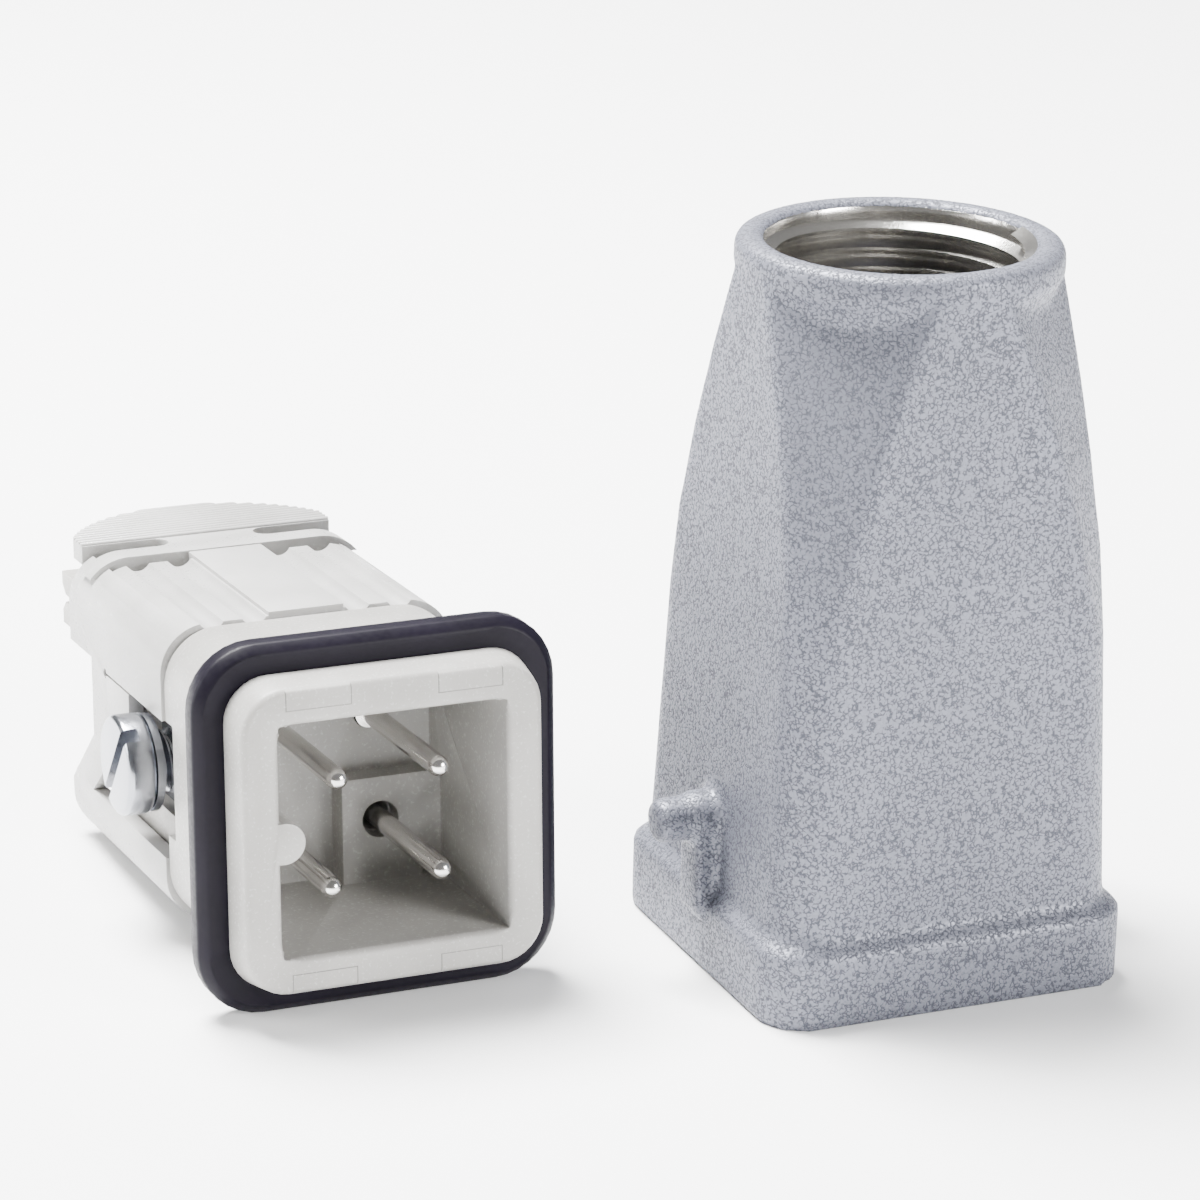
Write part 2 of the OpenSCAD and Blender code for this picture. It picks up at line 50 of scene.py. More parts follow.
Colour = tuple[float, float, float]
Point = tuple[float, float, float]
Outline = tuple[tuple[float, float], ...]
Output = bpy.types.NodeSocket
PIN_MOUNT_DEPTH = 8 * MM  # how far behind the mating face the pins' mounts lie
MERGE = 0.002 * MM  # loose triangles of a CAD node meet within this
CLOSE = 0.001 * MM  # the first and last profile of a closed sweep meet within this
WELD = 0.02 * MM  # points closer than this become one before edges are rounded
SLIVER = 0.01 * MM  # edges shorter than this are dissolved
FLAT_ANGLE = math.radians(0.6)  # faces that turn less than this become one
RIM_ANGLE = 1.0  # in radians: a turned part's rims turn more than this
SIDES = 48  # of a small turned part
NOISE_SPAN = (0.3, 0.7)  # where most of a noise's values lie


def mount(name: str) -> dict:
    """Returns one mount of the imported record.

    Args:
        name: the mount's name.

    Returns:
        The mount as the record states it.
    """
    return next(m for m in frame["record"]["mounts"] if m["name"] == name)


def joint(name: str) -> dict:
    """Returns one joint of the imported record, by its name."""
    return next(j for j in frame["joints"] if j["name"] == name)


# ---------------------------------------------------------------- places


@dataclass(frozen=True)
class InsertFrame:
    """The insert's own frame: X right, Y to its rear, Z up, origin on its mating face.

    Attributes:
        origin: the middle of the mating face, in the row frame.
        tilt: how far the front is raised, in radians.
    """

    origin: Vector
    tilt: float

    @classmethod
    def from_record(cls) -> "InsertFrame":
        """Works the frame out from the pins' mounts and the cover's slide.

        Returns:
            The frame.
        """
        pin, earth = (Vector(mount(n)["pos_m"]) for n in ("contact_pin_1", "earth_contact_pin"))
        rearward = Vector(joint("cover_slide")["axis"])
        middle = (pin + earth) / 2 - rearward * PIN_MOUNT_DEPTH
        return cls(middle, math.atan2(-rearward.z, rearward.y))

    def matrix(self) -> Matrix:
        """Returns the matrix from the insert's frame to the row frame."""
        return Matrix.Translation(self.origin) @ Matrix.Rotation(-self.tilt, 4, "X")


INSERT = InsertFrame.from_record()
HOOD_AXIS = Vector(mount("cable_entry")["pos_m"]) * Vector((1, 1, 0))


# ---------------------------------------------------------------- modelling helpers


def select_only(obj: bpy.types.Object) -> None:
    """Makes one object the only selected and the active one.

    Args:
        obj: the object to work on.
    """
    bpy.ops.object.select_all(action="DESELECT")
    obj.select_set(True)
    bpy.context.view_layer.objects.active = obj


def added(operator: Callable[..., object], **settings: object) -> bpy.types.Object:
    """Adds a primitive, selected alone.

    Args:
        operator: the primitive's operator.
        settings: the operator's own settings.

    Returns:
        The new object.
    """
    bpy.ops.object.select_all(action="DESELECT")
    operator(**settings)
    return bpy.context.active_object


def apply_modifier(obj: bpy.types.Object, kind: str, **settings: object) -> None:
    """Adds a modifier, sets it up and applies it.

    Args:
        obj: the object that takes it.
        kind: the modifier's type.
        settings: the modifier's own settings.
    """
    select_only(obj)
    modifier = obj.modifiers.new(kind.lower(), kind)
    for key, value in settings.items():
        setattr(modifier, key, value)
    bpy.ops.object.modifier_apply(modifier=modifier.name)


def welded_copy(node: str, name: str) -> bpy.types.Object:
    """Copies a CAD node's mesh into a new object and merges its loose triangles.

    Args:
        node: the CAD node to copy.
        name: the new object's name.

    Returns:
        The new object, shaded flat.
    """
    obj = bpy.data.objects.new(name, frame["nodes"][node].data.copy())
    bpy.context.scene.collection.objects.link(obj)
    select_only(obj)
    bpy.ops.object.mode_set(mode="EDIT")
    bpy.ops.mesh.select_all(action="SELECT")
    bpy.ops.mesh.customdata_custom_splitnormals_clear()
    bpy.ops.mesh.remove_doubles(threshold=MERGE)
    bpy.ops.mesh.faces_shade_flat()
    bpy.ops.object.mode_set(mode="OBJECT")
    return obj


def shade(obj: bpy.types.Object, degrees: float) -> None:
    """Shades an object smooth, apart from edges sharper than an angle."""
    select_only(obj)
    bpy.ops.object.shade_smooth_by_angle(angle=math.radians(degrees))


def settle(obj: bpy.types.Object, matrix: Matrix) -> None:
    """Moves an object's mesh by a matrix, and leaves the object itself at the origin."""
    obj.data.transform(matrix)
    obj.matrix_world = Matrix.Identity(4)


def swept_profile(
    name: str, outline: Outline, turns: int, pitch: float, steps: int = 72
) -> bpy.types.Object:
    """Sweeps a four-cornered profile round Z, as a ring or as a thread's ridge.

    Args:
        name: the piece's name.
        outline: the profile's four corners, as radius and height, going round it.
        turns: how many turns it makes.
        pitch: how far it climbs in each turn, 0 for a closed ring.
        steps: sides in a turn.

    Returns:
        The swept piece, closed, with its faces outwards.
    """
    obj = added(bpy.ops.mesh.primitive_circle_add, vertices=len(outline), fill_type="NGON")
    obj.name = name
    for vertex, (radius, height) in zip(obj.data.vertices, outline):
        vertex.co = (radius, 0.0, height)
    apply_modifier(
        obj, "SCREW", axis="Z", angle=math.tau, screw_offset=pitch, iterations=turns,
        steps=steps, render_steps=steps, use_merge_vertices=True, merge_threshold=CLOSE,
    )
    select_only(obj)
    bpy.ops.object.mode_set(mode="EDIT")
    bpy.ops.mesh.select_all(action="SELECT")
    if pitch:
        bpy.ops.mesh.fill_holes(sides=len(outline))
    bpy.ops.mesh.normals_make_consistent(inside=False)
    bpy.ops.object.mode_set(mode="OBJECT")
    return obj


def joined(first: bpy.types.Object, *others: bpy.types.Object) -> bpy.types.Object:
    """Joins objects into the first one.

    Args:
        first: the object that takes the others' meshes.
        others: the objects that end in it.

    Returns:
        The first object.
    """
    bpy.ops.object.select_all(action="DESELECT")
    for other in others:
        other.select_set(True)
    first.select_set(True)
    bpy.context.view_layer.objects.active = first
    bpy.ops.object.join()
    return first


# ---------------------------------------------------------------- shader helpers


class Shader:
    """A material with one Principled BSDF, and short calls that add nodes to it."""

    def __init__(self, name: str) -> None:
        """Starts an empty material.

        Args:
            name: the material's name.
        """
        self.material = bpy.data.materials.new(name)
        self.material.use_nodes = True
        self.tree = self.material.node_tree
        self.bsdf = self.tree.nodes["Principled BSDF"]

    def set(self, socket: str, value: object) -> None:
        """Sets a plain value on the BSDF's own socket.

        Args:
            socket: the socket's name.
            value: a number, or a colour of three numbers.
        """
        if self.bsdf.inputs[socket].type == "RGBA":
            value = (*value, 1.0)
        self.bsdf.inputs[socket].default_value = value

    def feed(self, socket: str, output: Output) -> None:
        """Links an output to one of the BSDF's sockets."""
        self.tree.links.new(output, self.bsdf.inputs[socket])

    def node(self, kind: str, **settings: object) -> bpy.types.Node:
        """Adds a node.

        Args:
            kind: the node's type.
            settings: the node's own settings.

        Returns:
            The new node.
        """
        made = self.tree.nodes.new(kind)
        for key, value in settings.items():
            setattr(made, key, value)
        return made

    def plug(self, node: bpy.types.Node, socket: str | int, value: object) -> None:
        """Gives a node's input a value or a link, whichever is passed.

        Args:
            node: the node.
            socket: its input's name or place.
            value: a plain value, or the output to link.
        """
        target = node.inputs[socket]
        if isinstance(value, Output):
            self.tree.links.new(value, target)
        elif isinstance(value, tuple) and len(value) == 3 and target.type == "RGBA":
            target.default_value = (*value, 1.0)
        else:
            target.default_value = value

    def coords(self, local: InsertFrame | None = None, stretch: Point = (1, 1, 1)) -> Output:
        """Returns Object coordinates, in the row frame or in the insert's own.

        Args:
            local: the frame to read them in, or None for the row frame.
            stretch: how much longer than wide the pattern is along each axis.

        Returns:
            The vector output.
        """
        vector = self.node("ShaderNodeTexCoord").outputs["Object"]
        mapping = self.node("ShaderNodeMapping", vector_type="TEXTURE")
        self.plug(mapping, "Vector", vector)
        if local:
            self.plug(mapping, "Location", tuple(local.origin))
            self.plug(mapping, "Rotation", (-local.tilt, 0.0, 0.0))
        self.plug(mapping, "Scale", stretch)
        return mapping.outputs["Vector"]

    def group(self, tree: bpy.types.NodeTree, **inputs: object) -> bpy.types.Node:
        """Places a shared node group and gives its inputs their values.

        Args:
            tree: the group.
            inputs: its inputs by name, with _ for a space.

        Returns:
            The group's node.
        """
        made = self.node("ShaderNodeGroup", node_tree=tree)
        for key, value in inputs.items():
            self.plug(made, key.replace("_", " "), value)
        return made

    def math(self, operation: str, first: object, second: object = 0.0) -> Output:
        """Adds a Math node.

        Args:
            operation: what it works out.
            first: its first input.
            second: its second input.

        Returns:
            The result's output.
        """
        made = self.node("ShaderNodeMath", operation=operation)
        self.plug(made, 0, first)
        self.plug(made, 1, second)
        return made.outputs[0]

    def mix(self, factor: object, first: object, second: object) -> Output:
        """Mixes two colours.

        Args:
            factor: the share of the second one.
            first: a colour or an output.
            second: a colour or an output.

        Returns:
            The mixed colour's output.
        """
        made = self.node("ShaderNodeMix", data_type="RGBA", clamp_factor=True)
        self.plug(made, "Factor", factor)
        self.plug(made, 6, first)
        self.plug(made, 7, second)
        return made.outputs[2]

    def ramp(
        self, value: object, low: object, high: object, to_low: float = 0.0, to_high: float = 1.0
    ) -> Output:
        """Maps a value from one range onto another, clamped and smoothed.

        Args:
            value: the value to map.
            low: the range's start, which gives to_low.
            high: the range's end, which gives to_high.
            to_low: the result at and below the start.
            to_high: the result at and above the end.

        Returns:
            The mapped value's output.
        """
        made = self.node("ShaderNodeMapRange", interpolation_type="SMOOTHSTEP")
        keys = ("Value", "From Min", "From Max", "To Min", "To Max")
        for key, part in zip(keys, (value, low, high, to_low, to_high)):
            self.plug(made, key, part)
        return made.outputs["Result"]

    def bump(self, height: Output, depth_mm: float, strength: float) -> None:
        """Feeds the BSDF's normal from a height.

        Args:
            height: the height's output, in units of the depth.
            depth_mm: how deep one unit is.
            strength: the share of the effect that shows.
        """
        made = self.node("ShaderNodeBump")
        self.plug(made, "Strength", strength)
        self.plug(made, "Distance", depth_mm * MM)
        self.plug(made, "Height", height)
        self.feed("Normal", made.outputs["Normal"])


class SharedGroups:
    """The node groups that the finishes place, each built once."""

    DETAIL = {"Grain": 3.0, "Cloud": 4.0}
    SWAY = 1.1  # how far a line sways, in cells
    BREAK_SPAN = (0.38, 0.52)
    FAINTEST = 0.15

    def __init__(self) -> None:
        """Builds every group."""
        self.skin = self._skin()
        self.squiggle = self._squiggle()
        self.plate = self._plate()

    @staticmethod
    def _start(name: str, inputs: tuple[str, ...], outputs: tuple[str, ...]) -> Shader:
        """Makes an empty group with named sockets.

        Args:
            name: the group's name.
            inputs: the names of its inputs, all floats apart from Vector.
            outputs: the names of its float outputs.

        Returns:
            A Shader-like helper whose tree is the group's, without a BSDF.
        """
        tree = bpy.data.node_groups.new(name, "ShaderNodeTree")
        for key in inputs:
            kind = "NodeSocketVector" if key == "Vector" else "NodeSocketFloat"
            tree.interface.new_socket(key, in_out="INPUT", socket_type=kind)
        for key in outputs:
            tree.interface.new_socket(key, in_out="OUTPUT", socket_type="NodeSocketFloat")
        kit = Shader.__new__(Shader)
        kit.tree = tree
        kit.source = tree.nodes.new("NodeGroupInput")
        kit.sink = tree.nodes.new("NodeGroupOutput")
        return kit

    def _skin(self) -> bpy.types.NodeTree:
        """Makes a moulded or cast skin: broad cloudiness, and fine grain for bump and sparkle.

        Returns:
            The group.
        """
        kit = self._start("moulded_skin", ("Vector", "Grain", "Cloud"), ("Grain", "Cloud"))
        for name, detail in self.DETAIL.items():
            noise = kit.node("ShaderNodeTexNoise")
            kit.plug(noise, "Vector", kit.source.outputs["Vector"])
            kit.plug(noise, "Scale", kit.source.outputs[name])
            kit.plug(noise, "Detail", detail)
            kit.tree.links.new(noise.outputs["Fac"], kit.sink.inputs[name])
        return kit.tree

    def _squiggle(self) -> bpy.types.NodeTree:
        """Makes thin winding lines that fade in places, as in a hammered enamel's network.

        Returns:
            The group.
        """
        kit = self._start("squiggles", ("Vector", "Scale", "Width"), ("Mask",))
        scale = kit.source.outputs["Scale"]
        noise = kit.node("ShaderNodeTexNoise")
        kit.plug(noise, "Vector", kit.source.outputs["Vector"])
        kit.plug(noise, "Scale", scale)
        kit.plug(noise, "Detail", 1.0)
        sway = kit.node("ShaderNodeVectorMath", operation="SCALE")
        kit.plug(sway, 0, noise.outputs["Color"])
        kit.plug(sway, "Scale", kit.math("DIVIDE", self.SWAY, scale))
        moved = kit.node("ShaderNodeVectorMath", operation="ADD")
        kit.plug(moved, 0, kit.source.outputs["Vector"])
        kit.plug(moved, 1, sway.outputs[0])
        cells = kit.node("ShaderNodeTexVoronoi", feature="DISTANCE_TO_EDGE")
        kit.plug(cells, "Vector", moved.outputs[0])
        kit.plug(cells, "Scale", scale)
        line = kit.ramp(cells.outputs["Distance"], 0.0, kit.source.outputs["Width"], 1.0, 0.0)
        strength = kit.ramp(noise.outputs["Fac"], *self.BREAK_SPAN, self.FAINTEST, 1.0)
        kit.tree.links.new(kit.math("MULTIPLY", line, strength), kit.sink.inputs["Mask"])
        return kit.tree

    def _plate(self) -> bpy.types.NodeTree:
        """Makes a rectangle in a plane: its inside, and the thin line round it.

        Returns:
            The group.
        """
        places = ("Across", "Up", "Middle across", "Middle up")
        sizes = ("Half across", "Half up", "Soft")
        kit = self._start("rectangle_with_edge", places + sizes, ("Inside", "Line"))
        given = kit.source.outputs
        reach = []
        for way in ("across", "up"):
            off = kit.math("SUBTRACT", given[way.capitalize()], given[f"Middle {way}"])
            reach.append(kit.math("SUBTRACT", kit.math("ABSOLUTE", off), given[f"Half {way}"]))
        outside = kit.math("MAXIMUM", *reach)
        soft = given["Soft"]
        inside = kit.ramp(outside, kit.math("MULTIPLY", soft, -1.0), soft, 1.0, 0.0)
        line = kit.ramp(kit.math("ABSOLUTE", outside), 0.0, soft, 1.0, 0.0)
        kit.tree.links.new(inside, kit.sink.inputs["Inside"])
        kit.tree.links.new(line, kit.sink.inputs["Line"])
        return kit.tree


GROUPS = SharedGroups()


# ---------------------------------------------------------------- finishes


@dataclass(frozen=True)
class HammeredEnamel:
    """Silver grey hammered enamel, left off the machined thread of the cable entry.

    Attributes:
        body: the paint between the lines of its drying network.
        line: the paint in the lines.
        bare: the metal of the machined bore.
        bare_radius, bare_from: bare metal is nearer the hood's axis and higher than these.
        grain, cloud: the noise scales of its grain and clouds, per metre.
        lighter: how much lighter the clouds are.
        network: the network's cells per metre.
        line_width: the reach of a line to each side, in cells.
        line_strength: how far a line's colour covers the body.
        flake: how metallic the paint is between the lines.
        roughness: the paint's least roughness.
        grain_roughness: what the grain adds to it.
        line_roughness: what a line adds to it.
        bare_polish: what bare metal takes off it.
        grain_height: the grain's height, in units of the relief.
        relief_mm, relief: how deep the lines are, and the share of it that shows.
    """

    body: Colour = (0.140, 0.146, 0.179)
    line: Colour = (0.022, 0.024, 0.036)
    bare: Colour = (0.60, 0.585, 0.555)
    bare_radius: float = 10.06 * MM
    bare_from: float = 44.5 * MM
    grain: float = 5200.0
    cloud: float = 90.0
    lighter: float = 1.08
    network: float = 2900.0
    line_width: float = 0.27
    line_strength: float = 0.9
    flake: float = 0.35
    roughness: float = 0.36
    grain_roughness: float = 0.16
    line_roughness: float = 0.3
    bare_polish: float = 0.22
    grain_height: float = 0.35
    relief_mm: float = 0.05
    relief: float = 0.6

    def material(self) -> bpy.types.Material:
        """Builds the enamel's material.

        Returns:
            The material.
        """
        kit = Shader("hammered_enamel")
        vector = kit.coords()
        skin = kit.group(GROUPS.skin, Vector=vector, Grain=self.grain, Cloud=self.cloud)
        grain = skin.outputs["Grain"]
        fine = kit.group(GROUPS.squiggle, Vector=vector, Scale=self.network, Width=self.line_width)
        bare = self._bare_mask(kit)
        lines = kit.math("MULTIPLY", fine.outputs["Mask"], kit.math("SUBTRACT", 1.0, bare))
        light = tuple(self.lighter * c for c in self.body)
        cloudy = kit.mix(kit.ramp(skin.outputs["Cloud"], *NOISE_SPAN), self.body, light)
        paint = kit.mix(kit.math("MULTIPLY", lines, self.line_strength), cloudy, self.line)
        kit.feed("Base Color", kit.mix(bare, paint, self.bare))
        painted = kit.math("MULTIPLY", kit.math("SUBTRACT", 1.0, lines), self.flake)
        kit.feed("Metallic", kit.math("MAXIMUM", bare, painted))
        rough = kit.math("MULTIPLY", lines, self.line_roughness)
        rough = kit.math("ADD", rough, kit.math("MULTIPLY", grain, self.grain_roughness))
        rough = kit.math("ADD", rough, self.roughness)
        polish = kit.math("MULTIPLY", bare, self.bare_polish)
        kit.feed("Roughness", kit.math("SUBTRACT", rough, polish))
        height = kit.math("SUBTRACT", kit.math("MULTIPLY", grain, self.grain_height), lines)
        kit.bump(height, self.relief_mm, self.relief)
        return kit.material

    def _bare_mask(self, kit: Shader) -> Output:
        """Masks the machined bore by its distance from the hood's axis and its height.

        Args:
            kit: the enamel's material.

        Returns:
            The mask's output, 1 on bare metal.
        """
        split = kit.node("ShaderNodeSeparateXYZ")
        kit.plug(split, 0, kit.node("ShaderNodeTexCoord").outputs["Object"])
        away = [kit.math("SUBTRACT", split.outputs[i], HOOD_AXIS[i]) for i in (0, 1)]
        squares = [kit.math("MULTIPLY", a, a) for a in away]
        radius = kit.math("SQRT", kit.math("ADD", *squares))
        near = kit.math("LESS_THAN", radius, self.bare_radius)
        high = kit.math("GREATER_THAN", split.outputs[2], self.bare_from)
        return kit.math("MULTIPLY", near, high)


@dataclass(frozen=True)
class MouldedPlastic:
    """Light grey glass-filled plastic with a faintly cloudy, grainy skin.

    Attributes:
        name: the material's name.
        colour: its main colour.
        warm: its colour in the clouds.
        grain: the glass grain's noise scale, per metre.
        sparkle: how far a speck of the glass grain is polished, and lightened as a painted glint.
        roughness: its roughness between the flecks.
        fields: the mould's fields on the mating face, each as its middle across and up
            and its half width and half height, in mm.
        field_depth_mm: how far a field stands out.
        field_edge: the reach of a field's outline to each side.
        face_depth: where the fields start and end fading behind the mating face.
        line_strength: how far the painted shade along the fields' edges covers the face.
        painted_edge_shade: the brightness of that painted shade, as a share of the main colour's.
        cloud: the clouds' noise scale, per metre.
        cloud_span: the noise values where a cloud starts and is full.
        speck_span: the noise values where a speck starts and is full.
        painted_glint: the colour of the painted glint on the specks.
        grain_height: the grain's height, in units of the relief.
        relief_mm, relief: how deep the relief is, and the share of it that shows.
        glow: the share of light that scatters under the skin.
        glow_reach: how far its red, green and blue scatter.
    """

    name: str
    colour: Colour
    warm: Colour
    grain: float = 3800.0
    sparkle: float = 0.175
    roughness: float = 0.46
    fields: tuple[tuple[float, float, float, float], ...] = ()
    field_depth_mm: float = 0.09
    field_edge: float = 0.06 * MM
    face_depth: tuple[float, float] = (0.05 * MM, 0.3 * MM)
    line_strength: float = 0.8
    painted_edge_shade: float = 0.25
    cloud: float = 160.0
    cloud_span: tuple[float, float] = (0.35, 0.65)
    speck_span: tuple[float, float] = (0.56, 0.70)
    painted_glint: Colour = (0.7, 0.7, 0.7)
    grain_height: float = 0.35
    relief_mm: float = 0.03
    relief: float = 0.7
    glow: float = 0.06
    glow_reach: Colour = (1.0 * MM, 0.9 * MM, 0.8 * MM)

    def material(self) -> bpy.types.Material:
        """Builds the plastic's material, with mould fields if it has any.

        Returns:
            The material.
        """
        kit = Shader(self.name)
        vector = kit.coords(INSERT)
        skin = kit.group(GROUPS.skin, Vector=vector, Grain=self.grain, Cloud=self.cloud)
        base = kit.mix(kit.ramp(skin.outputs["Cloud"], *self.cloud_span), self.colour, self.warm)
        speck = kit.ramp(skin.outputs["Grain"], *self.speck_span)
        shine = kit.math("MULTIPLY", speck, self.sparkle)
        kit.feed("Roughness", kit.math("SUBTRACT", self.roughness, shine))
        height = kit.math("MULTIPLY", skin.outputs["Grain"], self.grain_height)
        if self.fields:
            inside, line = self._fields(kit, vector)
            # painted shade: the fine line round each raised field is darkened, standing in for the shade along its
            # step
            edge_shade_colour = tuple(self.painted_edge_shade * c for c in self.colour)
            base = kit.mix(kit.math("MULTIPLY", line, self.line_strength), base, edge_shade_colour)
            raised = kit.math("MULTIPLY", inside, self.field_depth_mm / self.relief_mm)
            height = kit.math("ADD", height, raised)
        kit.bump(height, self.relief_mm, self.relief)
        # painted glint: the glass specks are lightened towards a pale colour; their lower roughness above is their
        # real polish
        kit.feed("Base Color", kit.mix(shine, base, self.painted_glint))
        kit.set("Subsurface Weight", self.glow)
        kit.set("Subsurface Radius", self.glow_reach)
        kit.set("Subsurface Scale", 1.0)
        return kit.material

    def _fields(self, kit: Shader, vector: Output) -> tuple[Output, Output]:
        """Masks the shallow rectangular fields that the mould's inserts leave.

        Args:
            kit: the plastic's material.
            vector: the insert's own coordinates.

        Returns:
            The fields' insides, and the fine lines round them.
        """
        split = kit.node("ShaderNodeSeparateXYZ")
        kit.plug(split, 0, vector)
        on_face = kit.ramp(split.outputs[1], *self.face_depth, 1.0, 0.0)
        total: dict[str, object] = {"Inside": 0.0, "Line": 0.0}
        for across, up, half_across, half_up in self.fields:
            plate = kit.group(
                GROUPS.plate,
                Across=split.outputs[0],
                Up=split.outputs[2],
                Middle_across=across * MM,
                Middle_up=up * MM,
                Half_across=half_across * MM,
                Half_up=half_up * MM,
                Soft=self.field_edge,
            )
            for key in total:
                total[key] = kit.math("ADD", total[key], plate.outputs[key])
        inside, line = (kit.math("MULTIPLY", part, on_face) for part in total.values())
        return inside, line


@dataclass(frozen=True)
class SealRubber:
    """Blue-black moulded rubber with a low sheen.

    Attributes:
        colour: its main colour.
        grain, cloud: the noise scales of its grain and clouds, per metre.
        cloud_span: the noise values where a cloud starts and is full.
        lighter: how much lighter the clouds are.
        roughness: its least and most roughness.
        relief_mm, relief: how deep the grain is, and the share of it that shows.
        gloss: its specular level.
    """

    colour: Colour = (0.0035, 0.0025, 0.0060)
    grain: float = 3000.0
    cloud: float = 220.0
    cloud_span: tuple[float, float] = (0.35, 0.7)
    lighter: float = 1.3
    roughness: tuple[float, float] = (0.42, 0.52)
    relief_mm: float = 0.008
    relief: float = 0.4
    gloss: float = 0.12

    def material(self) -> bpy.types.Material:
        """Builds the rubber's material.

        Returns:
            The material.
        """
        kit = Shader("seal_rubber")
        vector = kit.coords(INSERT)
        skin = kit.group(GROUPS.skin, Vector=vector, Grain=self.grain, Cloud=self.cloud)
        cloud = kit.ramp(skin.outputs["Cloud"], *self.cloud_span)
        light = tuple(self.lighter * c for c in self.colour)
        kit.feed("Base Color", kit.mix(cloud, self.colour, light))
        kit.feed("Roughness", kit.ramp(skin.outputs["Grain"], *NOISE_SPAN, *self.roughness))
        kit.bump(skin.outputs["Grain"], self.relief_mm, self.relief)
        kit.set("Specular IOR Level", self.gloss)
        return kit.material


class Brushing(Enum):
    """Which way a metal's fine marks run."""

    NONE = (1.0, 1.0, 1.0)
    ALONG_INSERT = (1.0, 14.0, 1.0)


@dataclass(frozen=True)
class PlatedMetal:
    """Plated metal with fine marks from turning or pressing.

    Attributes:
        name: the material's name.
        colour: the plating's colour.
        dull: its colour where it is duller.
        roughness: its mean roughness.
        brushing: which way its marks run.
        grain, cloud: the noise scales of its marks and dull places, per metre.
        unevenness: how far the roughness strays from its mean, as a share of it.
        relief_mm, relief: how deep the marks are, and the share of it that shows.
    """

    name: str
    colour: Colour
    dull: Colour
    roughness: float
    brushing: Brushing = Brushing.NONE
    grain: float = 2600.0
    cloud: float = 420.0
    unevenness: float = 0.1
    relief_mm: float = 0.001
    relief: float = 0.3

    def material(self) -> bpy.types.Material:
        """Builds the metal's material.

        Returns:
            The material.
        """
        kit = Shader(self.name)
        vector = kit.coords(INSERT, self.brushing.value)
        skin = kit.group(GROUPS.skin, Vector=vector, Grain=self.grain, Cloud=self.cloud)
        cloud, grain = (skin.outputs[name] for name in ("Cloud", "Grain"))
        kit.feed("Base Color", kit.mix(kit.ramp(cloud, *NOISE_SPAN), self.colour, self.dull))
        low, high = (self.roughness * (1 + side * self.unevenness) for side in (-1, 1))
        kit.feed("Roughness", kit.ramp(grain, *NOISE_SPAN, low, high))
        kit.set("Metallic", 1.0)
        kit.bump(grain, self.relief_mm, self.relief)
        return kit.material


ENAMEL = HammeredEnamel().material()
CARRIER_PLASTIC = MouldedPlastic(
    "carrier_plastic",
    (0.262, 0.255, 0.240),
    (0.300, 0.292, 0.276),
    fields=(
        (-5.75, 10.95, 2.5, 0.95),
        (6.0, 10.95, 2.5, 0.95),
        (-5.7, -10.95, 2.5, 0.85),
        (5.8, -10.95, 2.4, 0.85),
    ),
).material()
COVER_PLASTIC = MouldedPlastic(
    "cover_plastic",
    (0.33, 0.325, 0.315),
    (0.37, 0.365, 0.355),
    grain=3000.0,
    sparkle=0.3,
    roughness=0.40,
).material()
BLOCK_PLASTIC = MouldedPlastic(
    "block_plastic", (0.29, 0.278, 0.258), (0.32, 0.308, 0.288)
).material()
RUBBER = SealRubber().material()
SILVER = PlatedMetal(
    "silver_plate", (0.72, 0.70, 0.675), (0.56, 0.545, 0.52), 0.17, Brushing.ALONG_INSERT
).material()
ZINC = PlatedMetal("zinc_plate", (0.33, 0.34, 0.37), (0.30, 0.31, 0.34), 0.24).material()


def dress(obj: bpy.types.Object, material: bpy.types.Material) -> None:
    """Gives an object one material in its only slot.

    Args:
        obj: the object to dress.
        material: its material.
    """
    obj.data.materials.clear()
    obj.data.materials.append(material)


def dress_node(node: str, material: bpy.types.Material) -> None:
    """Assigns a material to a CAD node's own slots.

    Args:
        node: the CAD node to dress.
        material: its material.
    """
    obj = frame["nodes"][node]
    if not obj.material_slots:
        obj.data.materials.append(material)
    for slot in obj.material_slots:
        slot.material = material


# ---------------------------------------------------------------- hood


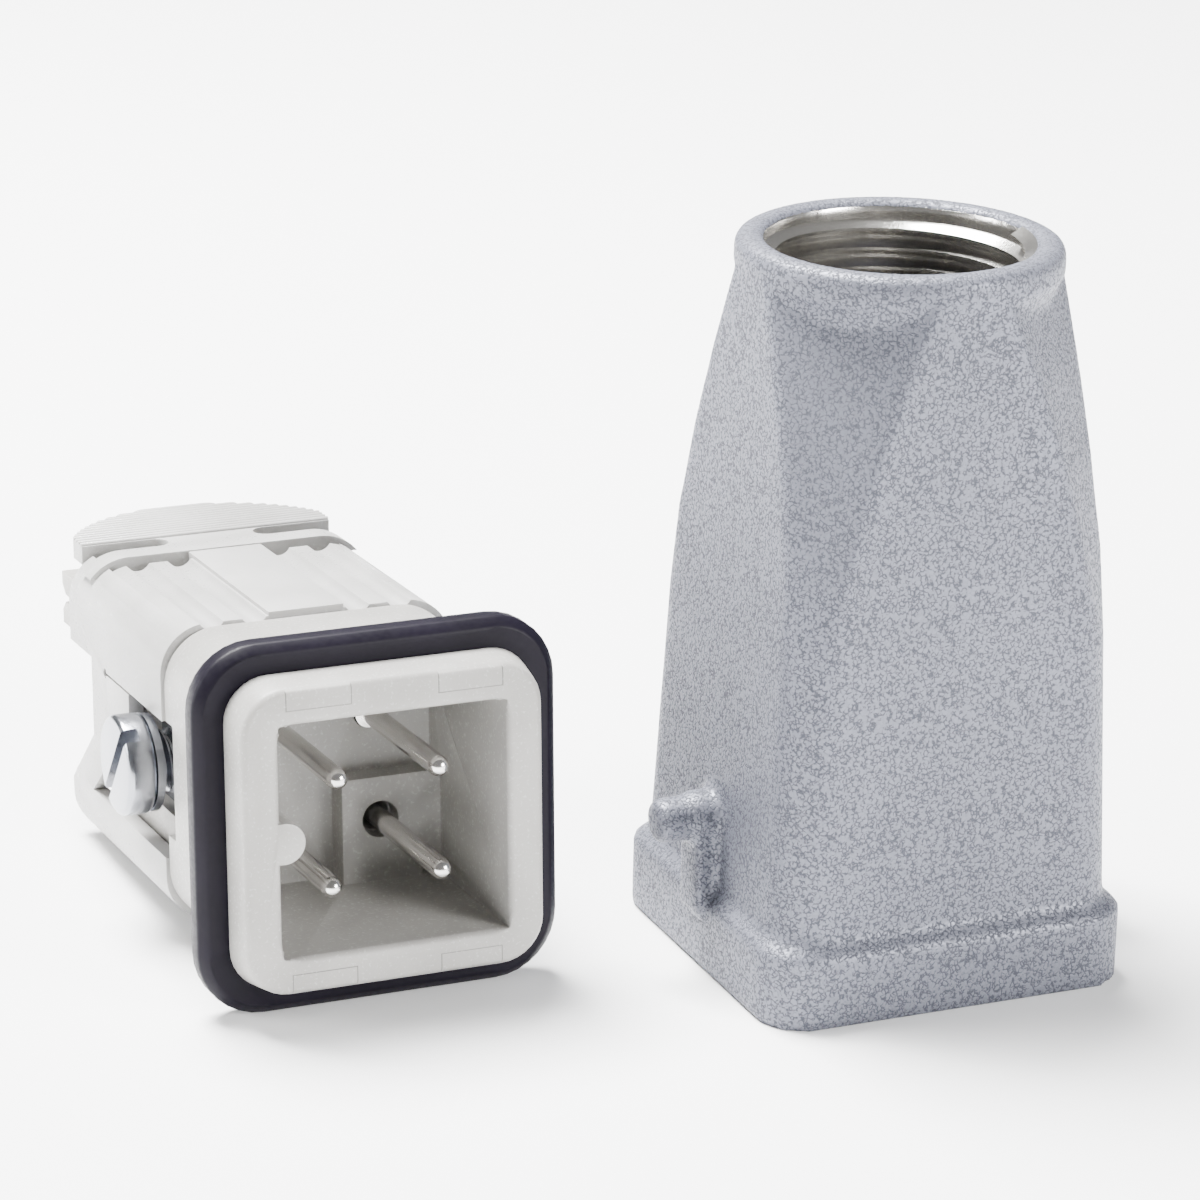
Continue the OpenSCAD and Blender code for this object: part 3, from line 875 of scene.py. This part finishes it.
@dataclass
class Hood:
    """The die-cast hood: its casting with soft edges, and the thread of its entry.

    Attributes:
        voxel: the step of the casting's mesh.
        soften_rounds, soften_share: how often and how far its edges are softened.
        casting_angle: edges sharper than this, in degrees, are shaded sharp.
        thread_major, thread_minor: the thread's radius at its root and at its tip.
        thread_sink: how far the ridge sinks into the bore's wall.
        thread_angle: casting_angle for the thread.
        thread_top: the height where the ridge ends.
        pitch, turns: the thread's pitch and its number of turns.
        ridge_foot, ridge_crest: half the ridge's width at its root and at its tip, as
            shares of the pitch.
        rim_foot: the height of the round rim's underside.
        rim_radius: the rim's outer radius.
        rim_flare: how far the flare under the rim reaches down.
        rim_lean: how far the flare's foot lies inside the rim.
        rim_overlap: how far the flare goes into the rim.
        bore_gap: how far the flare stays clear of the bore.
        pieces: the finished pieces.
    """

    voxel: float = 0.37 * MM
    soften_rounds: int = 2
    soften_share: float = 0.5
    casting_angle: float = 60.0
    thread_major: float = 10.0 * MM
    thread_minor: float = 9.15 * MM
    thread_sink: float = 0.15 * MM
    thread_angle: float = 40.0
    thread_top: float = 55.0 * MM
    pitch: float = 1.5 * MM
    ridge_foot: float = 0.47
    ridge_crest: float = 0.08
    turns: int = 6
    rim_foot: float = 53.6 * MM
    rim_radius: float = 12.15 * MM
    rim_flare: float = 1.7 * MM
    rim_lean: float = 0.9 * MM
    rim_overlap: float = 0.05 * MM
    bore_gap: float = 0.4 * MM
    pieces: list[bpy.types.Object] = field(default_factory=list)

    def build(self) -> None:
        """Builds the casting and the thread."""
        self.pieces = [self.casting(), self.entry_thread()]

    def casting(self) -> bpy.types.Object:
        """Softens a copy of the CAD hood as a casting's radii and paint do.

        Returns:
            The finished piece.
        """
        obj = joined(welded_copy("hood_shell", "hood_casting"), self.rim_blend())
        obj.name = "hood_casting"
        apply_modifier(obj, "REMESH", mode="VOXEL", voxel_size=self.voxel, adaptivity=0.0)
        apply_modifier(obj, "SMOOTH", factor=self.soften_share, iterations=self.soften_rounds)
        shade(obj, self.casting_angle)
        dress(obj, ENAMEL)
        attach(obj, "connector")
        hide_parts("hood_shell")
        return obj

    def rim_blend(self) -> bpy.types.Object:
        """Makes the flare that leads the corner facets out to the round rim.

        Returns:
            The ring, in the row frame.
        """
        inner = self.thread_major + self.bore_gap
        outline = (
            (inner, -self.rim_flare),
            (self.rim_radius - self.rim_lean, -self.rim_flare),
            (self.rim_radius, self.rim_overlap),
            (inner, self.rim_overlap),
        )
        ring = swept_profile("rim_blend", outline, 1, 0.0)
        settle(ring, Matrix.Translation(HOOD_AXIS + Vector((0, 0, self.rim_foot))))
        return ring

    def entry_thread(self) -> bpy.types.Object:
        """Winds the thread's ridge down the bore.

        Returns:
            The finished piece.
        """
        foot, crest = self.pitch * self.ridge_foot, self.pitch * self.ridge_crest
        root, tip = self.thread_major + self.thread_sink, self.thread_minor
        outline = ((root, -foot), (root, foot), (tip, crest), (tip, -crest))
        obj = swept_profile("entry_thread", outline, self.turns, self.pitch)
        low = self.thread_top - self.turns * self.pitch
        settle(obj, Matrix.Translation(HOOD_AXIS + Vector((0, 0, low))))
        shade(obj, self.thread_angle)
        dress(obj, ENAMEL)
        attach(obj, "connector")
        return obj


# ---------------------------------------------------------------- insert


class Edge(Enum):
    """How far a moulding's sharp edges are rounded, in metres."""

    CRISP = 0.08 * MM
    SOFT = 0.16 * MM


@dataclass
class Insert:
    """The pin insert: its mouldings, seal, pins and screw terminals.

    Attributes:
        edge_angle: edges of a moulding sharper than this, in degrees, are rounded.
        edge_segments: the steps of their rounding.
        smooth_angle: what is sharper than this, in degrees, is still shaded sharp.
        earth_pin_tip: how far the earth pin's tip lies behind the mating face.
        earth_pin_length: how long the pin is.
        earth_pin_round: its tip's rounding, as a share of its radius.
        pin_segments: the steps of that rounding.
        pin_angle: smooth_angle for the pin.
        opening_half: half the width of the collar's opening.
        opening_radius: the radius of the opening's corners in the CAD node.
        opening_depth: how deep the opening is.
        overshoot: how far the corners' cutters start in front of the face.
        pieces: the finished pieces.
    """

    edge_angle: float = 32.0
    edge_segments: int = 2
    smooth_angle: float = 35.0
    earth_pin_tip: float = 0.6 * MM
    earth_pin_length: float = 18.0 * MM
    earth_pin_round: float = 0.95
    pin_segments: int = 6
    pin_angle: float = 40.0
    opening_half: float = 8.85 * MM
    opening_radius: float = 1.5 * MM
    opening_depth: float = 16.3 * MM
    overshoot: float = 1.0 * MM
    pieces: list[bpy.types.Object] = field(default_factory=list)

    def build(self) -> None:
        """Rounds the mouldings' edges and dresses every node."""
        mouldings = (
            ("contact_carrier", "connector", "carrier_plastic", CARRIER_PLASTIC, Edge.SOFT),
            ("rear_cover", "cover", "cover_plastic", COVER_PLASTIC, Edge.CRISP),
            ("terminal_block", "connector", "carrier_plastic", BLOCK_PLASTIC, Edge.CRISP),
            ("profile_seal", "connector", "seal_rubber", RUBBER, Edge.SOFT),
        )
        self.pieces = [self.moulding(*row) for row in mouldings] + [self.earth_pin()]
        for node in ("earth_strap", "earth_washer"):
            dress_node(node, ZINC)
        for index in (1, 2, 3):
            dress_node(f"contact_{index}", SILVER)
            dress_node(f"clamp_leaf_{index}", ZINC)
            dress_node(f"terminal_screw_{index}", ZINC)

    def earth_pin(self) -> bpy.types.Object:
        """Makes the earth pin as one rod with a round tip, standing in its well.

        Returns:
            The finished piece.
        """
        seat = mount("earth_contact_pin")
        radius, depth = seat["dims"]["r_mm"] * MM, self.earth_pin_length
        cylinder = bpy.ops.mesh.primitive_cylinder_add
        obj = added(cylinder, vertices=SIDES, radius=radius, depth=depth)
        obj.name = "earth_pin_rod"
        apply_modifier(
            obj, "BEVEL", width=self.earth_pin_round * radius, segments=self.pin_segments,
            limit_method="ANGLE", angle_limit=RIM_ANGLE,
        )
        back = self.earth_pin_tip + depth / 2 - PIN_MOUNT_DEPTH
        centre = Vector(seat["pos_m"]) + Vector(joint("cover_slide")["axis"]) * back
        turn = Matrix.Rotation(-INSERT.tilt - math.pi / 2, 4, "X")
        settle(obj, Matrix.Translation(centre) @ turn)
        shade(obj, self.pin_angle)
        dress(obj, SILVER)
        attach(obj, "connector")
        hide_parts("earth_pin")
        return obj

    def sharpen_opening(self, carrier: bpy.types.Object) -> None:
        """Cuts the opening's corners out to the square form that a fine mould tool leaves.

        Args:
            carrier: the copy of the carrier, in the row frame.
        """
        cutters = []
        side, reach = self.opening_radius, self.opening_half - self.opening_radius / 2
        size = Matrix.Diagonal((side, self.opening_depth + self.overshoot, side, 1.0))
        depth = (self.opening_depth - self.overshoot) / 2
        for across, up in ((1, 1), (1, -1), (-1, 1), (-1, -1)):
            cutters.append(added(bpy.ops.mesh.primitive_cube_add, size=1.0))
            middle = Matrix.Translation((across * reach, depth, up * reach))
            settle(cutters[-1], INSERT.matrix() @ middle @ size)
        cutter = joined(*cutters)
        apply_modifier(carrier, "BOOLEAN", object=cutter, operation="DIFFERENCE", solver="EXACT")
        bpy.data.objects.remove(cutter)

    def moulding(
        self, node: str, body: str, slot: str, material: bpy.types.Material, edge: Edge
    ) -> bpy.types.Object:
        """Rounds the sharp edges of a copy of a CAD moulding.

        Args:
            node: the CAD node that the piece stands for.
            body: the body it rides on.
            slot: the record's material slot; not used.
            material: its finish.
            edge: how soft its edges are.

        Returns:
            The finished piece.
        """
        obj = welded_copy(node, f"{node}_moulding")
        if node == "contact_carrier":
            self.sharpen_opening(obj)
        select_only(obj)
        bpy.ops.object.mode_set(mode="EDIT")
        bpy.ops.mesh.select_all(action="SELECT")
        bpy.ops.mesh.dissolve_limited(angle_limit=FLAT_ANGLE)
        bpy.ops.mesh.select_all(action="SELECT")
        bpy.ops.mesh.remove_doubles(threshold=WELD)
        bpy.ops.mesh.select_all(action="SELECT")
        bpy.ops.mesh.dissolve_degenerate(threshold=SLIVER)
        bpy.ops.object.mode_set(mode="OBJECT")
        apply_modifier(
            obj, "BEVEL", width=edge.value, segments=self.edge_segments,
            limit_method="ANGLE", angle_limit=math.radians(self.edge_angle),
            use_clamp_overlap=edge is Edge.CRISP, miter_outer="MITER_ARC",
        )
        shade(obj, self.smooth_angle)
        dress(obj, material)
        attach(obj, body)
        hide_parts(node)
        return obj


@dataclass
class EarthScrew:
    """The earth terminal's slotted pan head screw, backed out of its plate.

    Attributes:
        head_radius, head_height: the head's size.
        head_round, head_segments: its rim's rounding and the steps of it.
        slot_width, slot_depth: the slot's size.
        slot_turn: how far the slot is turned, in degrees.
        shank_length: the shank's length under the head.
        shank_sink: how far the shank goes into the head.
        thread_major, thread_minor: the thread's radius at its tip and at its root.
        thread_sink: how far the ridge sinks into the shank.
        pitch, turns: the thread's pitch and its number of turns.
        ridge_foot, ridge_crest: half the ridge's width at its root and at its tip, as
            shares of the pitch.
        ridge_steps: the ridge's sides in a turn.
        smooth_angle: edges sharper than this, in degrees, are shaded sharp.
        pieces: the finished piece.
    """

    head_radius: float = 3.9 * MM
    head_height: float = 2.3 * MM
    head_round: float = 0.45 * MM
    head_segments: int = 4
    slot_width: float = 1.15 * MM
    slot_depth: float = 1.25 * MM
    slot_turn: float = 51.0
    shank_length: float = 8.1 * MM
    shank_sink: float = 0.2 * MM
    thread_major: float = 2.45 * MM
    thread_minor: float = 2.05 * MM
    thread_sink: float = 0.1 * MM
    pitch: float = 0.8 * MM
    ridge_foot: float = 0.46
    ridge_crest: float = 0.09
    turns: int = 9
    ridge_steps: int = 40
    smooth_angle: float = 35.0
    pieces: list[bpy.types.Object] = field(default_factory=list)

    def build(self) -> None:
        """Builds the screw on its own axis and sets it in its place."""
        screw = joined(self.head(), self.core(), self.thread())
        screw.name = "earth_screw_turned"
        seat = Matrix.Translation(Vector(joint("earth_screw_turn")["pos_m"]))
        lean = Matrix.Rotation(-INSERT.tilt, 4, "X")
        settle(screw, seat @ lean @ Matrix.Rotation(-math.pi / 2, 4, "Y"))
        shade(screw, self.smooth_angle)
        dress(screw, ZINC)
        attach(screw, "screw")
        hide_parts("earth_screw")
        self.pieces = [screw]

    def head(self) -> bpy.types.Object:
        """Turns the head, rounds its rim and mills the slot.

        Returns:
            The head, on the screw's own axis.
        """
        head = added(
            bpy.ops.mesh.primitive_cylinder_add, vertices=2 * SIDES, radius=self.head_radius,
            depth=self.head_height, location=(0, 0, self.head_height / 2),
        )
        settle(head, head.matrix_world.copy())
        apply_modifier(
            head, "BEVEL", width=self.head_round, segments=self.head_segments,
            limit_method="ANGLE", angle_limit=RIM_ANGLE,
        )
        cutter = added(bpy.ops.mesh.primitive_cube_add, size=1.0)
        size = (self.slot_width, 3 * self.head_radius, 2 * self.slot_depth, 1.0)
        turn = Matrix.Rotation(math.radians(self.slot_turn), 4, "Z")
        top = Matrix.Translation((0, 0, self.head_height))
        cutter.data.transform(top @ turn @ Matrix.Diagonal(size))
        apply_modifier(head, "BOOLEAN", object=cutter, operation="DIFFERENCE", solver="EXACT")
        bpy.data.objects.remove(cutter)
        return head

    def core(self) -> bpy.types.Object:
        """Makes the shank's core, up to the thread's root.

        Returns:
            The core, on the screw's own axis.
        """
        depth = self.shank_length + self.shank_sink
        core = added(
            bpy.ops.mesh.primitive_cylinder_add, vertices=SIDES, radius=self.thread_minor,
            depth=depth, location=(0, 0, self.shank_sink - depth / 2),
        )
        settle(core, core.matrix_world.copy())
        return core

    def thread(self) -> bpy.types.Object:
        """Winds the thread's ridge round the core.

        Returns:
            The ridge, on the screw's own axis.
        """
        foot, crest = self.pitch * self.ridge_foot, self.pitch * self.ridge_crest
        root, tip = self.thread_minor - self.thread_sink, self.thread_major
        outline = ((root, foot), (root, -foot), (tip, -crest), (tip, crest))
        ridge = swept_profile("screw_ridge", outline, self.turns, self.pitch, self.ridge_steps)
        settle(ridge, Matrix.Translation((0, 0, -self.shank_length + foot)))
        return ridge


# ---------------------------------------------------------------- studio


@dataclass(frozen=True)
class Lamp:
    """One square soft light: its name, place, side in metres and power in watts."""

    name: str
    place: Point
    size: float
    watts: float


@dataclass(frozen=True)
class Studio:
    """A pale floor, soft light from above, the left and the front, and the camera.

    Attributes:
        floor_size, floor_tone, floor_roughness: the floor's side and finish.
        room_tone, room_light: the colour and strength of the light that fills the room.
        lamps, lamp_aim: the soft lights, and the place that they face.
        camera_place: where the camera stands.
        heading, pitch, roll: its turn round Z, how far it looks down, and its lean, all
            in degrees.
        lens, sensor: its focal length and its frame's width, in mm.
        clip: the nearest and farthest distance that it sees.
    """

    floor_size: float = 6.0
    floor_tone: Colour = (0.92, 0.92, 0.92)
    floor_roughness: float = 0.9
    room_tone: Colour = (1.0, 1.0, 1.0)
    room_light: float = 0.31
    lamps: tuple[Lamp, ...] = (
        Lamp("top", (-0.10, 0.22, 0.60), 0.30, 35.0),
        Lamp("left", (-0.60, 0.16, 0.20), 0.25, 4.5),
        Lamp("front", (0.42, -0.62, 0.26), 0.30, 12.0),
    )
    lamp_aim: Point = (0.0, 0.0, 0.025)
    camera_place: Point = (-0.13672, -0.32238, 0.14670)
    heading: float = -23.31
    pitch: float = 19.39
    roll: float = -1.35
    lens: float = 143.71
    sensor: float = 36.0
    clip: tuple[float, float] = (0.01, 20.0)

    def build(self) -> None:
        """Builds the floor, the lights and the camera."""
        self.floor()
        self.world()
        for lamp in self.lamps:
            self.hang(lamp)
        self.camera()

    def floor(self) -> None:
        """Lays the floor under the object."""
        obj = added(bpy.ops.mesh.primitive_plane_add, size=self.floor_size)
        obj.name = "floor"
        kit = Shader("floor_white")
        kit.set("Base Color", self.floor_tone)
        kit.set("Roughness", self.floor_roughness)
        dress(obj, kit.material)

    def world(self) -> None:
        """Fills the room with even white light."""
        world = bpy.data.worlds.new("studio")
        world.use_nodes = True
        background = world.node_tree.nodes["Background"]
        background.inputs["Color"].default_value = (*self.room_tone, 1.0)
        background.inputs["Strength"].default_value = self.room_light
        bpy.context.scene.world = world

    def hang(self, lamp: Lamp) -> None:
        """Hangs one light so that it faces the object.

        Args:
            lamp: the light.
        """
        data = bpy.data.lights.new(lamp.name, "AREA")
        data.size = lamp.size
        data.energy = lamp.watts
        obj = bpy.data.objects.new(lamp.name, data)
        obj.location = lamp.place
        aim = Vector(self.lamp_aim) - Vector(lamp.place)
        obj.rotation_euler = aim.to_track_quat("-Z", "Y").to_euler()
        bpy.context.scene.collection.objects.link(obj)

    def camera(self) -> None:
        """Sets up the camera by its heading, its pitch below the horizon and its roll."""
        data = bpy.data.cameras.new("camera")
        data.lens = self.lens
        data.sensor_width = self.sensor
        data.clip_start, data.clip_end = self.clip
        obj = bpy.data.objects.new("camera", data)
        down = math.radians(90.0 - self.pitch)
        turned = Euler((down, 0.0, math.radians(self.heading)), "XYZ").to_matrix()
        rolled = Matrix.Rotation(math.radians(-self.roll), 3, "Z")
        obj.matrix_world = Matrix.Translation(self.camera_place) @ (turned @ rolled).to_4x4()
        bpy.context.scene.collection.objects.link(obj)
        bpy.context.scene.camera = obj


def main() -> None:
    """Builds the connector's pieces and the studio, and logs each piece's face count."""
    logging.basicConfig(level=logging.INFO, format="%(message)s")
    for part in (Hood(), Insert(), EarthScrew()):
        part.build()
        for piece in part.pieces:
            LOG.info("%s: %d faces", piece.name, len(piece.data.polygons))
    Studio().build()


if __name__ == "__main__":
    main()
